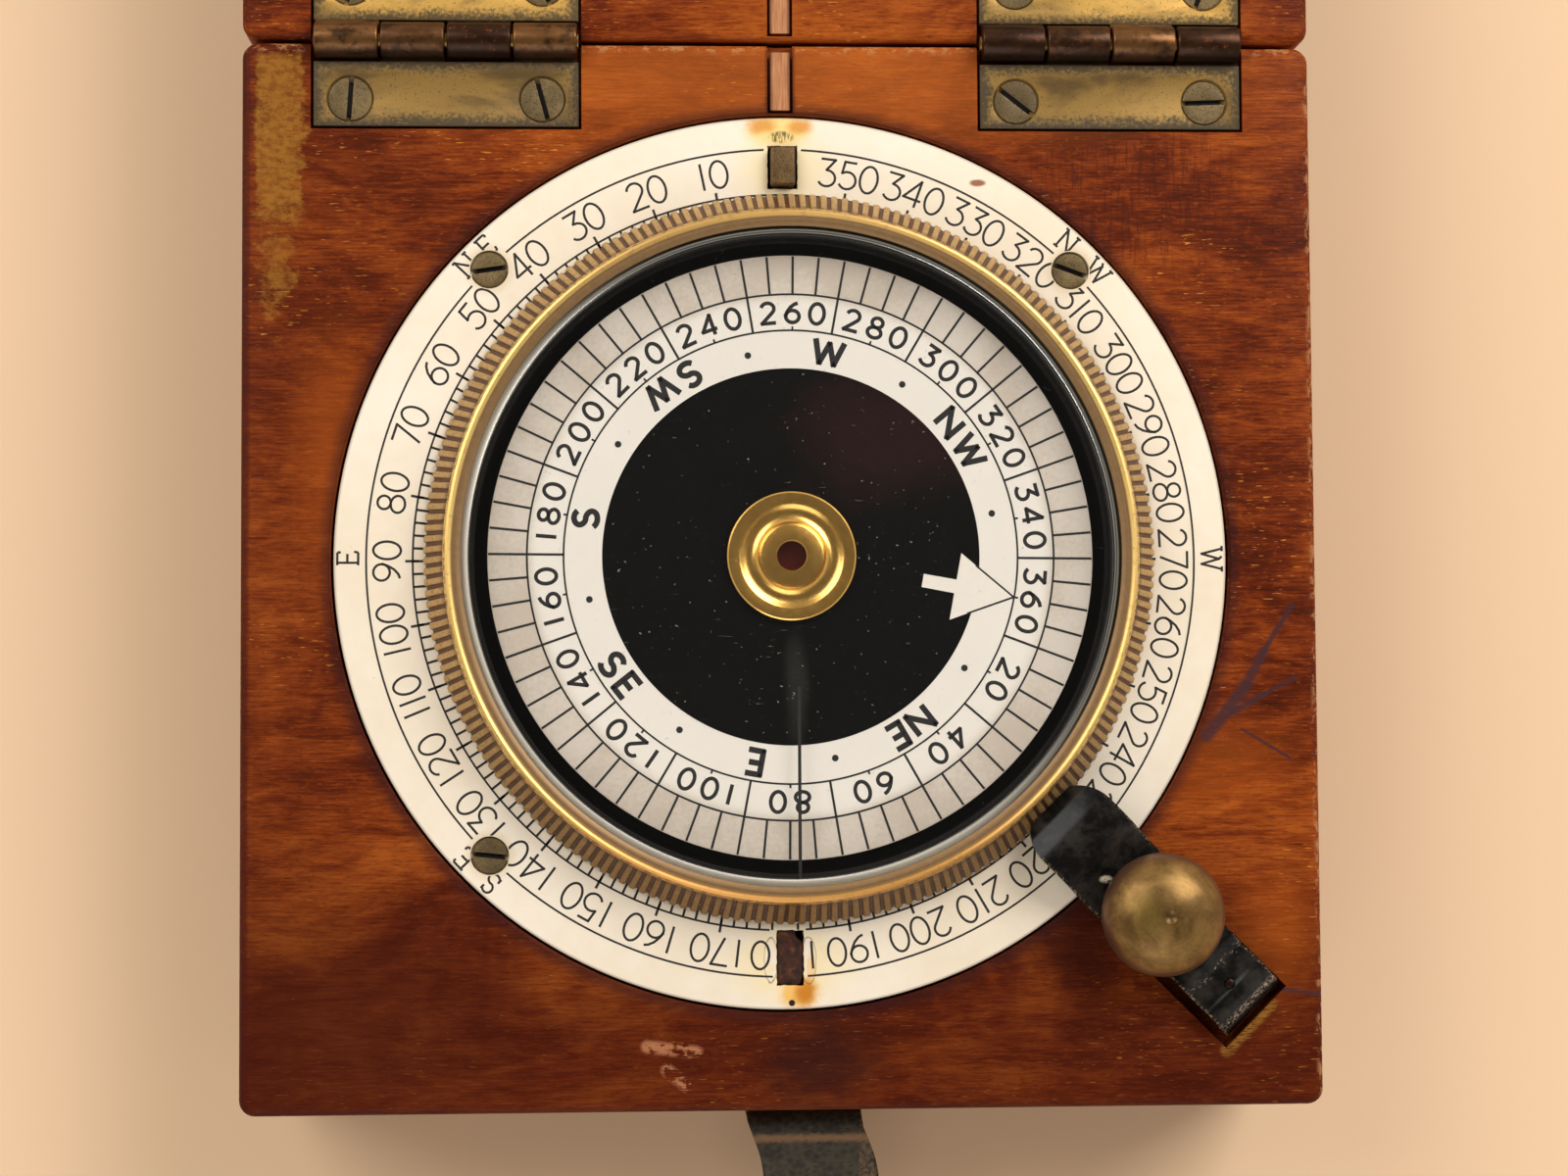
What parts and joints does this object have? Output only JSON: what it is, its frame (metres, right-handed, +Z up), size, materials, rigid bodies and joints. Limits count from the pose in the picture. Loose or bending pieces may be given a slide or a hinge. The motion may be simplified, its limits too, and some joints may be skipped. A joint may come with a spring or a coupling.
{
  "type": "marching compass",
  "caption": "Square wooden marching compass, opened flat, with a graduated ring, a milled bezel over a floating card, and a corner thumb-screw clamp.",
  "frame": {"origin": "under the middle of the dial ring, at the underside of the case", "axes": "+Z up out of the dial, +Y towards the hinges, where the lid lies open, +X to the right of someone who reads the dial"},
  "size_m": [0.11, 0.2494, 0.0371],
  "materials": {
    "mahogany": "varnished, worn",
    "pale_inlay": "satin",
    "ivorine": "satin, engraved",
    "tarnished_brass": "tarnished",
    "brass": "turned, worn",
    "rusty_steel": "rusty",
    "blackened_brass": "matt black",
    "japanned_steel": "gloss black",
    "bright_steel": "bright",
    "clear_glass": "polished",
    "printed_card": "matt, printed",
    "jewel_stone": "polished",
    "black_leather": "worn"
  },
  "bodies": {
    "case": {"bowl": "blackened_brass", "bowl_mounting_ring": "blackened_brass", "bowl_screw_1": "brass", "bowl_screw_2": "brass", "bowl_screw_3": "brass", "case_block": "mahogany", "case_direction_strip": "pale_inlay", "clamp_nut": "brass", "clamp_rivet": "brass", "dial_ring": "ivorine", "dial_screw_ne": "tarnished_brass", "dial_screw_nw": "tarnished_brass", "dial_screw_se": "tarnished_brass", "dial_screw_sw": "tarnished_brass", "hinge_left_case_leaf": "tarnished_brass", "hinge_left_case_screw_1": "tarnished_brass", "hinge_left_case_screw_2": "tarnished_brass", "hinge_left_pin": "tarnished_brass", "hinge_right_case_leaf": "tarnished_brass", "hinge_right_case_screw_1": "tarnished_brass", "hinge_right_case_screw_2": "tarnished_brass", "hinge_right_pin": "tarnished_brass", "north_index_block": "tarnished_brass", "pivot_needle": "bright_steel", "pivot_post": "brass", "south_index_block": "rusty_steel", "strap_nail_1": "brass", "strap_nail_2": "brass", "strap_root": "black_leather"},
    "lid": {"hinge_left_lid_leaf": "tarnished_brass", "hinge_left_lid_screw_1": "tarnished_brass", "hinge_left_lid_screw_2": "tarnished_brass", "hinge_right_lid_leaf": "tarnished_brass", "hinge_right_lid_screw_1": "tarnished_brass", "hinge_right_lid_screw_2": "tarnished_brass", "lid_block": "mahogany", "lid_direction_strip_far": "pale_inlay", "lid_direction_strip_floor": "pale_inlay", "lid_direction_strip_near": "pale_inlay", "lid_stud": "brass"},
    "bezel": {"bezel": "brass", "bezel_keeper_ring": "brass", "glass": "clear_glass", "glass_retaining_ring": "blackened_brass"},
    "card": {"cap_jewel": "jewel_stone", "card_cap": "brass", "card_disc": "printed_card", "magnet_clip_north": "brass", "magnet_clip_south": "brass", "magnet_east": "bright_steel", "magnet_west": "bright_steel"},
    "clamp_washer": {"clamp_washer": "brass"},
    "clamp_knob": {"clamp_knob": "brass", "clamp_screw": "bright_steel"},
    "clamp_strip": {"clamp_strip": "japanned_steel"},
    "strap": {"strap_flap": "black_leather"}
  },
  "joints": [
    {"name": "lid_hinge", "type": "hinge", "parent": "case", "child": "lid", "pos_m": [0, 0.0534, 0.0282], "axis": [1, 0, 0], "range_deg": [0, 180]},
    {"name": "bezel_turn", "type": "hinge", "parent": "case", "child": "bezel", "pos_m": [0.0008, 0.0003, 0.031], "axis": [0, 0, 1], "continuous": true},
    {"name": "card_turn", "type": "hinge", "parent": "case", "child": "card", "pos_m": [0.0008, 0.0003, 0.0285], "axis": [0, 0, 1], "continuous": true},
    {"name": "clamp_lift", "type": "slide", "parent": "case", "child": "clamp_washer", "axis": [0, 0, 1], "range_m": [0, 0.0008]},
    {"name": "clamp_knob_turn", "type": "hinge", "parent": "clamp_washer", "child": "clamp_knob", "pos_m": [0.0378, -0.0361, 0.032], "axis": [0, 0, 1], "range_deg": [0, 360]},
    {"name": "clamp_strip_tilt", "type": "hinge", "parent": "case", "child": "clamp_strip", "pos_m": [0.04494, -0.04324, 0.02965], "axis": [0.7071, 0.7071, 0], "range_deg": [0, 4.56]},
    {"name": "strap_fold", "type": "hinge", "parent": "case", "child": "strap", "pos_m": [0.0023, -0.05785, 0.0188], "axis": [-1, 0, 0], "range_deg": [0, 104]}
  ],
  "couplings": [
    {"joint": "clamp_knob_turn", "follows": "clamp_lift", "rad_per_m": 7853.9},
    {"joint": "clamp_strip_tilt", "follows": "clamp_lift", "rad_per_m": 99}
  ]
}
